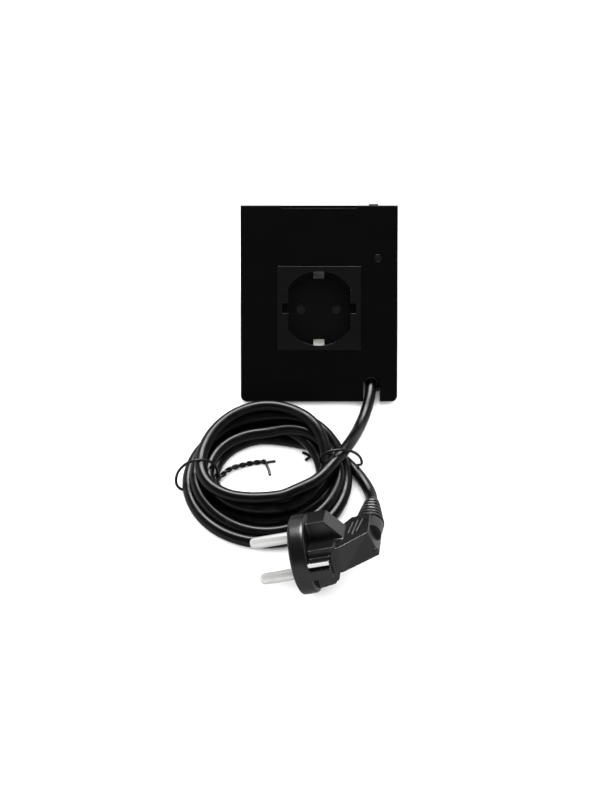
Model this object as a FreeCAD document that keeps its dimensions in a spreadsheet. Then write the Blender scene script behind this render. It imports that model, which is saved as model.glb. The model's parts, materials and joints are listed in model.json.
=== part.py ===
import FreeCAD, Part
import math
import os
import re
import Sketcher
from FreeCAD import Placement, Rotation, Vector

# A smart socket in a sloping desk housing, with a mains lead, its coil and an angled earthed plug.
# Row frame: origin under the middle of the housing, +X right, +Y to the rear, +Z up, millimetres.

doc = FreeCAD.newDocument("SmartPlug")
sheet = doc.addObject("Spreadsheet::Sheet", "Sizes")

SIZES = {
    # housing
    "body_width": 84.6,
    "face_length": 105.4,
    "face_slope": 45,
    "top_depth": 22,
    "wall": 2.4,
    "panel_thick": 3,
    "corner_round": 3.2,
    "edge_round": 0.8,
    "foot_drop": 1.6,
    "foot_sink": 0.8,
    "foot_radius": 5,
    "foot_inset": 9,
    "vent_length": 44,
    "vent_height": 1.8,
    "vent_pitch": 4.6,
    "vent_rise": 14,
    "pry_width": 40,
    "pry_height": 1.7,
    "pry_depth": 1.2,
    "hook_width": 8,
    "hook_thick": 1.6,
    "hook_reach": 8,
    "hook_barb": 0.9,
    "fit_gap": 0.15,
    "run_gap": 0.3,
    # socket module
    "module_margin": 0.9,
    "module_rise": 50.2,
    "module_proud": 0.4,
    "well_bore": 40,
    "well_depth": 17.5,
    "well_wall": 1.6,
    "well_floor": 2.4,
    "guide_depth": 3.3,
    "guide_width": 20,
    "guide_slot": 5.3,
    "pin_pitch": 19,
    "pin_hole": 5.6,
    "earth_width": 6,
    "earth_sheet": 0.8,
    "earth_reach": 3.5,
    "frame_margin": 5.5,
    "frame_sheet": 1.5,
    "shutter_radius": 13.5,
    "shutter_sheet": 1.6,
    "shutter_turn": 38,
    "pivot_radius": 1.8,
    "base_width": 40,
    "base_height": 31,
    "base_depth": 11.3,
    "contact_radius": 3.8,
    "contact_bore": 4.9,
    "contact_length": 9.5,
    # control board
    "board_width": 77,
    "board_height": 27,
    "board_thick": 1.6,
    "board_set": 9,
    "board_gap": 0.3,
    "post_radius": 2.8,
    "screw_shank": 1.2,
    "screw_head": 2.3,
    "screw_head_depth": 1.4,
    "led_gap": 1,
    "led_drop": 23.9,
    "lens_radius": 1.9,
    "lens_flange": 2.6,
    "button_side": 29.5,
    "button_width": 5,
    "button_set": 9,
    "button_proud": 1.4,
    "button_travel": 0.5,
    "button_flange": 1,
    "button_sheet": 0.8,
    "plunger_radius": 1.6,
    "switch_side": 6,
    # lead and its clamp
    "cord_radius": 3,
    "core_radius": 1.1,
    "cord_side": 28.4,
    "cord_gap": 0.2,
    "notch_gap": 1.5,
    "notch_rise": 5,
    "relief_length": 21,
    "relief_wall": 1.6,
    "clamp_length": 6,
    "clamp_thick": 2.5,
    # coil
    "coil_height": 17,
    "coil_long": 42,
    "coil_wide": 36,
    "coil_eye_long": 25,
    "coil_eye_wide": 17,
    "coil_lean": 15,
    "tie_wire": 0.8,
    # plug
    "plug_disc": 37,
    "plug_rim": 8,
    "plug_pin": 4.8,
    "plug_pin_length": 19,
    "plug_arm": 12.4,
    "boot_length": 31,
    "boot_lip": 0.9,
    "boot_root": 6.2,
    "boot_side": 33,
}


def fill_sheet():
    for row, (name, value) in enumerate(SIZES.items(), 1):
        sheet.set("A%d" % row, name)
        sheet.set("B%d" % row, str(value))
        sheet.setAlias("B%d" % row, name)
    doc.recompute()


fill_sheet()


def size(name):
    return float(sheet.get(name))


def bound(text):
    """An expression with each size's name turned into its cell of the sheet."""
    return re.sub(r"[a-z]+(?:_[a-z]+)*", lambda m: "Sizes." + m[0] if m[0] in SIZES else m[0], text)


def value(text):
    """The value of a size that follows from others."""
    return float(sheet.evalExpression(bound(text)))


def link(item, **values):
    for name, text in values.items():
        item.setExpression(name.replace("_", "."), bound(str(text)))


def place(item, x, y, z):
    for axis, text in zip("xyz", (x, y, z)):
        item.setExpression(".Placement.Base." + axis, bound(str(text)))


# Sizes that follow from others.
BOOT_START = 17.5
MODULE_SIDE = "(well_bore + 2 * well_wall + 2 * module_margin)"
GUIDE_CHORD = "(well_bore - 2 * guide_depth)"
EARTH_TOUCH = "(well_bore / 2 - earth_reach)"
FRAME_SIDE = "(%s + 2 * frame_margin)" % MODULE_SIDE
LED_SIDE = "(%s / 2 + lens_flange + led_gap)" % FRAME_SIDE

# The control board hangs as high as the pressed button and the rear wall let it.
BUTTON_ROOM = "wall + run_gap + button_sheet + button_travel + board_gap"
DEEPEST = "(panel_thick + board_set + board_thick + 11)"
REAR_ROOM = "(%s + wall / sin(face_slope) - top_depth) * tan(face_slope) - 4 + board_gap" % DEEPEST
BOARD_DROP = "max(%s; %s)" % (BUTTON_ROOM, REAR_ROOM)
BOARD_TOP = "(face_length - %s)" % BOARD_DROP
LED_RISE = "(%s - led_drop)" % BOARD_TOP
CORD_HEIGHT = "(foot_drop + wall + cord_radius + cord_gap)"
NOTCH_WIDTH = "(2 * cord_radius + 2 * notch_gap)"
NOTCH_HEIGHT = "(3 * cord_radius + notch_rise)"

# Frames: the sloping face, the socket module on it, and the plug where it lies.
SLOPE = math.radians(size("face_slope"))
FRONT = -(size("face_length") * math.cos(SLOPE) + size("top_depth") * math.sin(SLOPE)) / 2
FACE_Z = size("foot_drop") + size("panel_thick") * math.cos(SLOPE)
ROW = Placement()
FACE = Placement(Vector(0, FRONT, FACE_Z), Rotation(Vector(1, 0, 0), size("face_slope")))
MODULE = FACE.multiply(Placement(Vector(0, size("module_rise"), 0), Rotation()))
PLUG = Placement(Vector(-11.6, FRONT - 108.8, 17.95), Rotation(180.5, 15.6, 118.7))
REAR_Y = -FRONT

ALONG = {
    "x": Rotation(Vector(0, 1, 0), 90),
    "y": Rotation(Vector(1, 0, 0), -90),
    "z": Rotation(),
    "-x": Rotation(Vector(0, 1, 0), -90),
    "-y": Rotation(Vector(1, 0, 0), 90),
    "-z": Rotation(Vector(1, 0, 0), 180),
}

nodes = {}


def box(x, y, z, long, wide, high):
    """A box from its lowest corner."""
    item = doc.addObject("Part::Box", "Block")
    link(item, Length=long, Width=wide, Height=high)
    place(item, x, y, z)
    return item


def slab(x, y, z, long, wide, high):
    """A box centred on x and y that stands up from z."""
    return box("(%s) - (%s) / 2" % (x, long), "(%s) - (%s) / 2" % (y, wide), z, long, wide, high)


def rod(x, y, z, radius, length, along="z"):
    item = doc.addObject("Part::Cylinder", "Rod")
    link(item, Radius=radius, Height=length)
    item.Placement = Placement(Vector(), ALONG[along])
    place(item, x, y, z)
    return item


def cone(x, y, z, start, end, length, along="z"):
    item = doc.addObject("Part::Cone", "Taper")
    link(item, Radius1=start, Radius2=end, Height=length)
    item.Placement = Placement(Vector(), ALONG[along])
    place(item, x, y, z)
    return item


def join(*items):
    if len(items) == 1:
        return items[0]
    item = doc.addObject("Part::MultiFuse", "Join")
    item.Shapes = list(items)
    return item


def cut(base, *tools):
    item = doc.addObject("Part::Cut", "Cut")
    item.Base = base
    item.Tool = join(*tools)
    return item


def common(base, tool):
    item = doc.addObject("Part::Common", "Common")
    item.Base = base
    item.Tool = tool
    return item


def group(*items):
    """Separate solids of one node."""
    item = doc.addObject("Part::Compound", "Group")
    item.Links = list(items)
    return item


def node(label, item, frame=ROW):
    """Names a finished sub-part and puts it in its frame."""
    if item.TypeId in ("Part::Box", "Part::Cylinder"):
        item = group(item)
    item.Placement = frame
    item.Label = label
    nodes[label] = item
    return item


def fixed(label, shape):
    """A sub-part whose shape is worked out here from the sheet."""
    item = doc.addObject("Part::Feature", "Shape")
    item.Shape = shape
    return node(label, item)


def new_body(name):
    return doc.addObject("PartDesign::Body", name)


def sketch_on(body, role, name):
    sketch = body.newObject("Sketcher::SketchObject", name)
    plane = [f for f in body.Origin.OriginFeatures if f.Role == role][0]
    sketch.AttachmentSupport = [(plane, "")]
    sketch.MapMode = "FlatFace"
    return sketch


def outline(sketch, points):
    """A closed outline of straight lines whose corners are held by expressions."""
    rough = [Vector(10 * math.cos(-k), 10 * math.sin(-k), 0) for k in range(len(points))]
    first = sketch.GeometryCount
    for k, start in enumerate(rough):
        sketch.addGeometry(Part.LineSegment(start, rough[(k + 1) % len(rough)]), False)
    for k in range(len(points)):
        after = first + (k + 1) % len(points)
        sketch.addConstraint(Sketcher.Constraint("Coincident", first + k, 2, after, 1))
    for k, pair in enumerate(points):
        for kind, text in zip(("DistanceX", "DistanceY"), pair):
            held = sketch.addConstraint(Sketcher.Constraint(kind, -1, 1, first + k, 1, 1.0))
            sketch.setExpression("Constraints[%d]" % held, bound(str(text)))


def circle(sketch, x, y, radius):
    held = sketch.addGeometry(Part.Circle(Vector(1, 1, 0), Vector(0, 0, 1), 1), False)
    for kind, text in (("DistanceX", x), ("DistanceY", y)):
        rule = sketch.addConstraint(Sketcher.Constraint(kind, -1, 1, held, 3, 1.0))
        sketch.setExpression("Constraints[%d]" % rule, bound(str(text)))
    rule = sketch.addConstraint(Sketcher.Constraint("Radius", held, 1.0))
    sketch.setExpression("Constraints[%d]" % rule, bound(str(radius)))


def grow(body, kind, sketch, length, reverse=False, middle=False):
    feature = body.newObject("PartDesign::" + kind, kind)
    feature.Profile = sketch
    feature.SideType = "Symmetric" if middle else "One side"
    feature.Reversed = reverse
    link(feature, Length=length)
    doc.recompute()
    return feature


def edges_where(feature, test):
    """The names of a feature's edges whose middle passes a test."""
    named = []
    for index, edge in enumerate(feature.Shape.Edges, 1):
        middle = edge.valueAt((edge.FirstParameter + edge.LastParameter) / 2)
        if test(edge, middle):
            named.append("Edge%d" % index)
    return named


def round_edges(body, feature, names, radius):
    fillet = body.newObject("PartDesign::Fillet", "Round")
    fillet.Base = (feature, names)
    link(fillet, Radius=radius)
    doc.recompute()
    return fillet


def upright(edge, middle):
    along = edge.Vertexes[0].Point - edge.Vertexes[-1].Point
    return abs(along.x) < 1e-6 and abs(along.y) < 1e-6


# ---- housing ----

def front_panel():
    """The sloping cover: opening for the module, cord notch, pry recess, hooks and board posts."""
    body = new_body("PanelBody")
    half = "body_width / 2"
    plan = sketch_on(body, "XY_Plane", "PanelPlan")
    outline(plan, [("-" + half, 0), (half, 0), (half, "face_length"), ("-" + half, "face_length")])
    plate = grow(body, "Pad", plan, "panel_thick", reverse=True)
    low = edges_where(plate, lambda e, m: upright(e, m) and m.y < size("corner_round"))
    rounded = round_edges(body, plate, low, "corner_round")
    front = edges_where(rounded, lambda e, m: abs(m.z) < 1e-6)
    round_edges(body, rounded, front, "edge_round")

    opening = sketch_on(body, "XY_Plane", "ModuleOpening")
    side = "(%s / 2 + fit_gap)" % MODULE_SIDE
    outline(opening, [
        ("-" + side, "module_rise - " + side),
        (side, "module_rise - " + side),
        (side, "module_rise + " + side),
        ("-" + side, "module_rise + " + side),
    ])
    circle(opening, LED_SIDE, LED_RISE, "lens_radius + fit_gap / 2")
    grow(body, "Pocket", opening, "panel_thick")

    recess = sketch_on(body, "XY_Plane", "PryRecess")
    outline(recess, [
        ("-pry_width / 2", "face_length - pry_height"),
        ("pry_width / 2", "face_length - pry_height"),
        ("pry_width / 2", "face_length + pry_height"),
        ("-pry_width / 2", "face_length + pry_height"),
    ])
    grow(body, "Pocket", recess, "pry_depth")

    notch_top = "(%s - %s / 2)" % (NOTCH_HEIGHT, NOTCH_WIDTH)
    notch = join(
        slab("cord_side", notch_top + " / 2 - 1", "-panel_thick - 1",
             NOTCH_WIDTH, notch_top + " + 2", "panel_thick + 2"),
        rod("cord_side", notch_top, "-panel_thick - 1", NOTCH_WIDTH + " / 2", "panel_thick + 2"),
    )
    extras = []
    pilots = []
    for side_sign in (-1, 1):
        for y in ("0.28 * face_length", "0.6 * face_length"):
            inner = "(body_width / 2 - wall - fit_gap)"
            x = "%s - hook_thick / 2" % inner if side_sign > 0 else "hook_thick / 2 - " + inner
            extras.append(slab(x, y, "-panel_thick - hook_reach", "hook_thick", "hook_width", "hook_reach"))
            x = inner if side_sign > 0 else "-" + inner
            extras.append(slab(x, y, "-panel_thick - hook_reach",
                               "2 * (hook_barb - fit_gap)", "hook_width", "hook_thick"))
    for x, y in board_screw_places():
        extras.append(rod(x, y, "-panel_thick", "post_radius", "board_set", "-z"))
        pilots.append(rod(x, y, "-panel_thick - board_set", "screw_shank", 6))
    for x, y in frame_screw_places():
        pilots.append(rod(x, "module_rise + (%s)" % y, "-panel_thick", "screw_shank", "panel_thick * 0.6"))
    return node("front_panel", cut(join(body, *extras), notch, *pilots), FACE)


def frame_screw_places():
    """Screw places of the mounting frame, from the module's middle."""
    side = "(%s / 2 - 4)" % FRAME_SIDE
    return [(a + side, b + side) for a in ("-", "") for b in ("-", "")]


def board_screw_places():
    """Screw places of the control board, on the sloping face."""
    x = "(board_width / 2 - 3)"
    drops = ("4.4", "(led_drop - lens_flange - post_radius - 0.5)")
    return [(a + x, "(%s - %s)" % (BOARD_TOP, drop)) for a in ("-", "") for drop in drops]


def housing():
    """The shell behind the panel: sides, top, rear and floor in one moulding."""
    body = new_body("HousingBody")
    rise = "(face_length * sin(face_slope) - (top_depth - panel_thick) * cos(face_slope))"
    side = sketch_on(body, "YZ_Plane", "SideProfile")
    outline(side, [
        (0, "-panel_thick"),
        ("face_length", "-panel_thick"),
        ("face_length", "-top_depth"),
        ("face_length - %s * sin(face_slope)" % rise, "-top_depth - %s * cos(face_slope)" % rise),
    ])
    grow(body, "Pad", side, "body_width", middle=True)
    back = "(face_length * cos(face_slope) + top_depth * sin(face_slope) - wall)"
    floor = "(wall - panel_thick * cos(face_slope))"
    hollow = sketch_on(body, "YZ_Plane", "Hollow")
    outline(hollow, [
        ("(%s - (1 - panel_thick) * cos(face_slope)) / sin(face_slope)" % floor, "1 - panel_thick"),
        ("face_length - wall", "1 - panel_thick"),
        ("face_length - wall", "((face_length - wall) * cos(face_slope) - %s) / sin(face_slope)" % back),
        ("%s * cos(face_slope) + %s * sin(face_slope)" % (back, floor),
         "%s * cos(face_slope) - %s * sin(face_slope)" % (floor, back)),
    ])
    grow(body, "Pocket", hollow, "body_width - 2 * wall", middle=True)

    windows = []
    button_hole = "button_width + 2 * run_gap"
    windows.append(slab("button_side", "face_length - wall / 2", "-button_set - (%s) / 2" % button_hole,
                        button_hole, "wall + 2", button_hole))
    for side_sign in (-1, 1):
        for y in ("0.28 * face_length", "0.6 * face_length"):
            x = "%d * (body_width / 2 - wall)" % side_sign
            windows.append(slab(x, y, "-panel_thick - hook_reach - fit_gap", "2 * (hook_barb + fit_gap)",
                                "hook_width + 2 * fit_gap", "hook_thick + 2 * fit_gap"))
    shell = cut(body, *windows)
    shell.Placement = FACE

    posts = [rod(x, clamp_y(), "foot_drop", "post_radius", CORD_HEIGHT + " + relief_wall - foot_drop + 2.1")
             for x in clamp_screw_places()]
    openings = [slab("cord_side", FRONT + 8, "0", NOTCH_WIDTH, "18", "foot_drop + wall + 1")]
    openings += [rod(x, y, "0", "foot_radius + fit_gap", "foot_drop + foot_sink") for x, y in foot_places()]
    openings += [rod(x, clamp_y(), "foot_drop + wall + 1", "screw_shank", "20") for x in clamp_screw_places()]
    for row in range(6):
        openings.append(slab("0", REAR_Y, "vent_rise + %d * vent_pitch" % row,
                             "vent_length", "4 * wall", "vent_height"))
    return node("housing", cut(join(shell, *posts), *openings))


def foot_places():
    x = "(body_width / 2 - foot_inset)"
    return [(a + x, y) for a in ("-", "") for y in (FRONT + 16, REAR_Y - 9)]


def rubber_feet():
    return node("rubber_feet", group(*[
        rod(x, y, "0", "foot_radius", "foot_drop + foot_sink") for x, y in foot_places()]))


# ---- socket module: x right, y up the slope, z out of the face, from the module's middle ----

WELL_TOP = "(module_proud - well_depth)"
WELL_BACK = "(module_proud - well_depth - well_floor)"
BASE_TOP = "(module_proud - well_depth - well_floor - shutter_sheet - 2 * run_gap)"
SPRING_Y = "(shutter_radius + 2 * run_gap + 0.3)"


def socket_cover():
    """The square cover with its round well, guide ribs, earth windows and pin holes."""
    plate = slab("0", "0", "-panel_thick", MODULE_SIDE, MODULE_SIDE, "panel_thick + module_proud")
    tube = rod("0", "0", WELL_BACK, "well_bore / 2 + well_wall", "-%s - 1" % WELL_BACK)
    well = rod("0", "0", WELL_TOP, "well_bore / 2", "well_depth + 1")
    ribs = common(
        rod("0", "0", WELL_TOP + " - 1", "well_bore / 2 + well_wall / 2", "well_depth + 1"),
        cut(slab("0", "0", WELL_TOP + " - 1", "well_bore + well_wall", "guide_width", "well_depth + 1"),
            slab("0", "0", WELL_TOP + " - 2", GUIDE_CHORD, "guide_width + 1", "well_depth + 3"),
            slab("0", "0", WELL_TOP, "well_bore + 9", "guide_slot", "well_depth + 3")),
    )
    holes = [rod("%s * pin_pitch / 2" % s, "0", WELL_BACK + " - 1", "pin_hole / 2", "well_floor + 2")
             for s in ("-1", "1")]
    windows = [slab("0", "%s * (well_bore / 2 + well_wall / 2)" % s, WELL_TOP,
                    "earth_width + 2 * run_gap", "3 * well_wall", "well_depth - panel_thick - module_proud")
               for s in ("-1", "1")]
    body = join(cut(join(plate, tube), well), ribs)
    return node("socket_cover", cut(body, *holes, *windows), MODULE)


def socket_base():
    """The carrier behind the well: shutter recess and pivot, contact bores and terminal pockets."""
    block = slab("0", "0", BASE_TOP + " - base_depth", "base_width", "base_height",
                 "base_depth + 2 * run_gap + shutter_sheet")
    recess = rod("0", "0", BASE_TOP, "shutter_radius + run_gap", "shutter_sheet + 2 * run_gap + 1")
    pivot = rod("0", "0", BASE_TOP + " - 1", "pivot_radius", "shutter_sheet + 2 * run_gap + 1")
    tools = []
    for s in ("-1", "1"):
        tools.append(rod(s + " * pin_pitch / 2", "0", BASE_TOP + " - base_depth - 1",
                         "contact_radius + run_gap", "base_depth + 2"))
        tools.append(slab(s + " * (base_width / 2 - 5.5)", "0", BASE_TOP + " - base_depth - 1",
                          "9", "6.4", "base_depth - 3"))
        tools.append(rod(s + " * base_width / 2", "0", BASE_TOP + " - 6.5",
                         "screw_shank + run_gap", "4", "-x" if s == "1" else "x"))
    tools.append(slab("0", SPRING_Y, BASE_TOP, "10", "1.1", "shutter_sheet + 2 * run_gap + 1"))
    return node("socket_base", join(cut(block, recess, *tools), pivot), MODULE)


def contact(label, s):
    """A slotted brass sleeve for one pin, with its strip and terminal."""
    x = s + " * pin_pitch / 2"
    top = BASE_TOP + " - 0.5"
    sleeve = rod(x, "0", top + " - contact_length", "contact_radius", "contact_length")
    strip = slab(s + " * (pin_pitch / 2 + 3.4)", "0", top + " - contact_length", "7", "4", "0.9")
    post = slab(s + " * (base_width / 2 - 4.4)", "0", top + " - contact_length", "5", "5", "5.5")
    bore = rod(x, "0", top + " - contact_length + 0.9", "contact_bore / 2", "contact_length")
    slot = slab(x, "0", top + " - contact_length * 0.7", "0.8", "3 * contact_radius", "contact_length")
    return node(label, cut(join(sleeve, strip, post), bore, slot), MODULE)


def earth_strap():
    """A ring round the well with two bowed spring fingers and a lug for the earth wire."""
    body = new_body("EarthBody")
    top = "(-panel_thick - frame_sheet)"
    under = "(-panel_thick - frame_sheet - earth_sheet)"
    outer = "well_bore / 2 + well_wall + 3"
    finger = sketch_on(body, "YZ_Plane", "Finger")
    outline(finger, [
        (outer, top),
        ("well_bore / 2 + 0.6", top),
        (EARTH_TOUCH, top + " - 4.4"),
        (EARTH_TOUCH, top + " - 5.6"),
        ("well_bore / 2 - 1.4", top + " - 10.4"),
        ("well_bore / 2 - 0.6", top + " - 10.1"),
        (EARTH_TOUCH + " + 0.9", top + " - 5.4"),
        (EARTH_TOUCH + " + 0.9", top + " - 4.7"),
        ("well_bore / 2 + 1.1", under),
        (outer, under),
    ])
    pad = grow(body, "Pad", finger, "earth_width", middle=True)
    mirror = body.newObject("PartDesign::Mirrored", "LowerFinger")
    mirror.Originals = [pad]
    plane = [f for f in body.Origin.OriginFeatures if f.Role == "XZ_Plane"][0]
    mirror.MirrorPlane = (plane, [""])
    body.Tip = mirror
    doc.recompute()
    ring = cut(rod("0", "0", under, outer, "earth_sheet"),
               rod("0", "0", under + " - 1", "well_bore / 2 + well_wall + run_gap", "earth_sheet + 2"))
    lug = slab("-(%s) - 2" % outer, "0", under, "7", "6", "earth_sheet")
    return node("earth_strap", join(body, ring, lug), MODULE)


def socket_shutter():
    """The turning safety disc: its holes meet the pin holes once both pins have turned it."""
    disc = rod("0", "0", BASE_TOP + " + run_gap", "shutter_radius", "shutter_sheet")
    eye = rod("0", "0", BASE_TOP, "pivot_radius + run_gap", "shutter_sheet + 1")
    holes = []
    for s in (1, -1):
        x = "%d * pin_pitch / 2 * cos(shutter_turn)" % s
        y = "%d * pin_pitch / 2 * sin(shutter_turn)" % s
        holes.append(rod(x, y, BASE_TOP, "pin_hole / 2 + 0.1", "shutter_sheet + 1"))
    return node("socket_shutter", cut(disc, eye, *holes), MODULE)


def shutter_spring():
    """A leaf spring held in the carrier's rim, beside the disc."""
    leaf = slab("0", SPRING_Y, BASE_TOP + " + run_gap", "9", "0.4", "shutter_sheet")
    return node("shutter_spring", leaf, MODULE)


def mounting_frame():
    plate = slab("0", "0", "-panel_thick - frame_sheet", FRAME_SIDE, FRAME_SIDE, "frame_sheet")
    opening = slab("0", "0", "-panel_thick - frame_sheet - 1", "well_bore + 2 * well_wall + 2 * run_gap",
                   "well_bore + 2 * well_wall + 2 * run_gap", "frame_sheet + 2")
    holes = [rod(x, y, "-panel_thick - frame_sheet - 1", "screw_shank + 0.1", "frame_sheet + 2")
             for x, y in frame_screw_places()]
    return node("mounting_frame", cut(plate, opening, *holes), MODULE)


def frame_screws():
    screws = []
    under = "(-panel_thick - frame_sheet)"
    for x, y in frame_screw_places():
        screws.append(join(
            rod(x, y, under, "screw_shank", "frame_sheet + panel_thick * 0.6"),
            rod(x, y, under + " - screw_head_depth", "screw_head", "screw_head_depth")))
    return node("frame_screws", group(*screws), MODULE)


def terminal_screws():
    screws = []
    for s in ("-1", "1"):
        along = "x" if s == "1" else "-x"
        start = s + " * (base_width / 2 - 1.9)"
        screws.append(join(
            rod(start, "0", BASE_TOP + " - 6.5", "screw_shank", "2.4", along),
            rod(s + " * (base_width / 2 + 0.5)", "0", BASE_TOP + " - 6.5", "screw_head", "1.2", along)))
    return node("terminal_screws", group(*screws), MODULE)


# ---- control board: in the frame of the sloping face ----

BOARD_FRONT = "(-panel_thick - board_set)"
BOARD_BACK = "(-panel_thick - board_set - board_thick)"


def control_board():
    board = box("-board_width / 2", BOARD_TOP + " - board_height", BOARD_BACK,
                "board_width", "board_height", "board_thick")
    holes = [rod(x, y, BOARD_BACK + " - 1", "screw_shank + 0.1", "board_thick + 2")
             for x, y in board_screw_places()]
    return node("control_board", cut(board, *holes), FACE)


def board_screws():
    screws = []
    for x, y in board_screw_places():
        screws.append(join(
            rod(x, y, BOARD_BACK, "screw_shank", "board_thick + 5"),
            rod(x, y, BOARD_BACK + " - screw_head_depth", "screw_head", "screw_head_depth")))
    return node("board_screws", group(*screws), FACE)


def board_block(label, x, drop, long, wide, high, front=False):
    """A component on the board: x of its left side and how far its top edge is below the board's."""
    z = BOARD_FRONT if front else "%s - (%s)" % (BOARD_BACK, high)
    item = box(x, "%s - (%s) - (%s)" % (BOARD_TOP, drop, wide), z, long, wide, high)
    return node(label, item, FACE)


def board_parts():
    board_block("relay", "12.5", "6.5", "15.4", "15.5", "12.5")
    board_block("power_module", "3 - board_width / 2 + 3.4", "4", "28", "15", "11")
    board_block("board_terminal", "-22", "20.5", "30", "6.4", "9.5")
    board_block("radio_module", "-27", "3", "18", "14", "2.6", front=True)
    board_block("status_led", LED_SIDE + " - 1.6", "led_drop - 1.4", "3.2", "2.8", "1.9", front=True)
    node("capacitor", rod("5", BOARD_TOP + " - 11", BOARD_BACK, "4", "10", "-z"), FACE)
    node("board_fuse", rod("10.6", BOARD_TOP + " - 19", BOARD_BACK + " - 1.7", "1.6", "11", "y"), FACE)


def light_pipe():
    lens = join(
        rod(LED_SIDE, LED_RISE, "-panel_thick", "lens_radius", "panel_thick"),
        rod(LED_SIDE, LED_RISE, "-panel_thick", "lens_flange", "board_set - 2.2", "-z"))
    return node("light_pipe", lens, FACE)


def button_cap():
    """The small push button in the top wall, with a flange inside that keeps it in."""
    under = "face_length - wall - run_gap - button_sheet"
    stem = slab("button_side", under + " + (wall + run_gap + button_sheet + button_proud) / 2",
                "-button_set - button_width / 2", "button_width",
                "wall + run_gap + button_sheet + button_proud", "button_width")
    flange = slab("button_side", under + " + button_sheet / 2", "-button_set - button_width / 2 - button_flange",
                  "button_width + 2 * button_flange", "button_sheet", "button_width + 2 * button_flange")
    return node("button_cap", join(stem, flange), FACE)


SWITCH_TOP = "(face_length - wall - run_gap - button_sheet - 1.7)"


def switch_plunger():
    pin = rod("button_side", "face_length - wall - run_gap - button_sheet", "-button_set",
              "plunger_radius", "2.3", "-y")
    return node("switch_plunger", pin, FACE)


def tact_switch():
    block = slab("button_side", SWITCH_TOP + " - 2", BOARD_FRONT, "switch_side", "4", "switch_side")
    well = rod("button_side", SWITCH_TOP + " + 1", "-button_set", "plunger_radius + run_gap",
               "1.6 + 1 + button_travel - 0.5", "-y")
    return node("tact_switch", cut(block, well), FACE)


# ---- lead: sleeve, clamp, cord and cores ----

RELIEF_START = FRONT + 11


def clamp_y():
    return "%s + relief_length - 9" % RELIEF_START


def clamp_screw_places():
    return ["cord_side - 8.2", "cord_side + 8.2"]


def cord_relief():
    """The tapered sleeve on the lead just inside the housing."""
    sleeve = cone("cord_side", RELIEF_START, CORD_HEIGHT, "cord_radius + relief_wall * 0.5",
                  "cord_radius + relief_wall", "relief_length", "y")
    collar = rod("cord_side", "%s + relief_length - 3" % RELIEF_START, CORD_HEIGHT,
                 "cord_radius + relief_wall + 0.8", "3", "y")
    bore = rod("cord_side", RELIEF_START - 1, CORD_HEIGHT, "cord_radius", "relief_length + 2", "y")
    foot = slab("cord_side", "%s + relief_length / 2" % RELIEF_START, "0", "30", "relief_length + 9",
                "foot_drop + wall")
    return node("cord_relief", cut(join(sleeve, collar), bore, foot))


def cord_clamp():
    z = CORD_HEIGHT + " + relief_wall + 2.1"
    bar = slab("cord_side", clamp_y(), z, "22", "clamp_length", "clamp_thick")
    arch = rod("cord_side", "%s - 6" % clamp_y(), CORD_HEIGHT, "cord_radius + relief_wall", "12", "y")
    holes = [rod(x, clamp_y(), z + " - 1", "screw_shank + 0.1", "clamp_thick + 2")
             for x in clamp_screw_places()]
    return node("cord_clamp", cut(bar, arch, *holes))


def clamp_screws():
    z = CORD_HEIGHT + " + relief_wall + 2.1"
    return node("clamp_screws", group(*[join(
        rod(x, clamp_y(), z + " - 4", "screw_shank", "clamp_thick + 4"),
        rod(x, clamp_y(), z + " + clamp_thick", "screw_head", "screw_head_depth"))
        for x in clamp_screw_places()]))


def tube(points, radius):
    """A round tube along straight runs joined by the largest tangent arcs that the runs allow."""
    points = [Vector(*p) for p in points]
    edges = []
    radii = []
    start = points[0]
    for before, corner, after in zip(points, points[1:], points[2:]):
        back = (before - corner).normalize()
        ahead = (after - corner).normalize()
        turn = math.pi - back.getAngle(ahead)
        reach = 0.45 * min((before - corner).Length, (after - corner).Length)
        bend = reach / math.tan(turn / 2)
        enter = corner + back * reach
        leave = corner + ahead * reach
        middle = corner + (back + ahead).normalize() * (bend / math.cos(turn / 2) - bend)
        edges.append(Part.LineSegment(start, enter).toShape())
        edges.append(Part.Arc(enter, middle, leave).toShape())
        radii.append(round(bend, 1))
        start = leave
    edges.append(Part.LineSegment(start, points[-1]).toShape())
    path = Part.Wire(edges)
    disc = Part.Wire(Part.makeCircle(radius, points[0], points[1] - points[0]))
    solid = path.makePipeShell([disc], True, False)
    share = solid.Volume / (math.pi * radius ** 2 * path.Length)
    return solid, radii, path.Length, share


def cord_node(label, points, radius):
    solid, radii, length, share = tube(points, radius)
    print(label, "length", round(length, 1), "radii", radii, "volume share", round(share, 4))
    return fixed(label, solid)


# Points of the cord, with y from the housing's front edge.
# The lead goes from the sleeve's rear end out of the notch and up onto the coil.
CORD_Z = size("foot_drop") + size("wall") + size("cord_radius") + size("cord_gap")
LEAD_ROUTE = [
    (28.4, 31.5, CORD_Z),
    (28.5, 17, CORD_Z),
    (28, 3, 6.3),
    (24.6, -9, 3.6),
    (20.6, -20, 4.4),
    (17.4, -30.5, 9.4),
    (13.4, -41, 13.2),
    (6.5, -49.5, 14.4),
]

# The tail goes from under the coil's rear, below the lead, to the plug's boot.
TAIL_ROUTE = [
    (-6, -29.6, 3.2),
    (3.5, -32.5, 3.1),
    (12, -39.5, 3.2),
    (19, -48.5, 3.1),
    (23.8, -57.6, 3.3),
]


def laid(route):
    return [(x, FRONT + y, z) for x, y, z in route]


def tail_route():
    boot_end = PLUG.multVec(Vector(-size("boot_side"), 0, BOOT_START + size("boot_length")))
    return laid(TAIL_ROUTE) + [tuple(boot_end)]


def cords():
    radius = size("cord_radius")
    cord_node("cord_lead", laid(LEAD_ROUTE), radius)
    cord_node("cord_tail", tail_route(), radius)


def point_of(frame, x, y, z):
    return frame.multVec(Vector(x, y, z))


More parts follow.
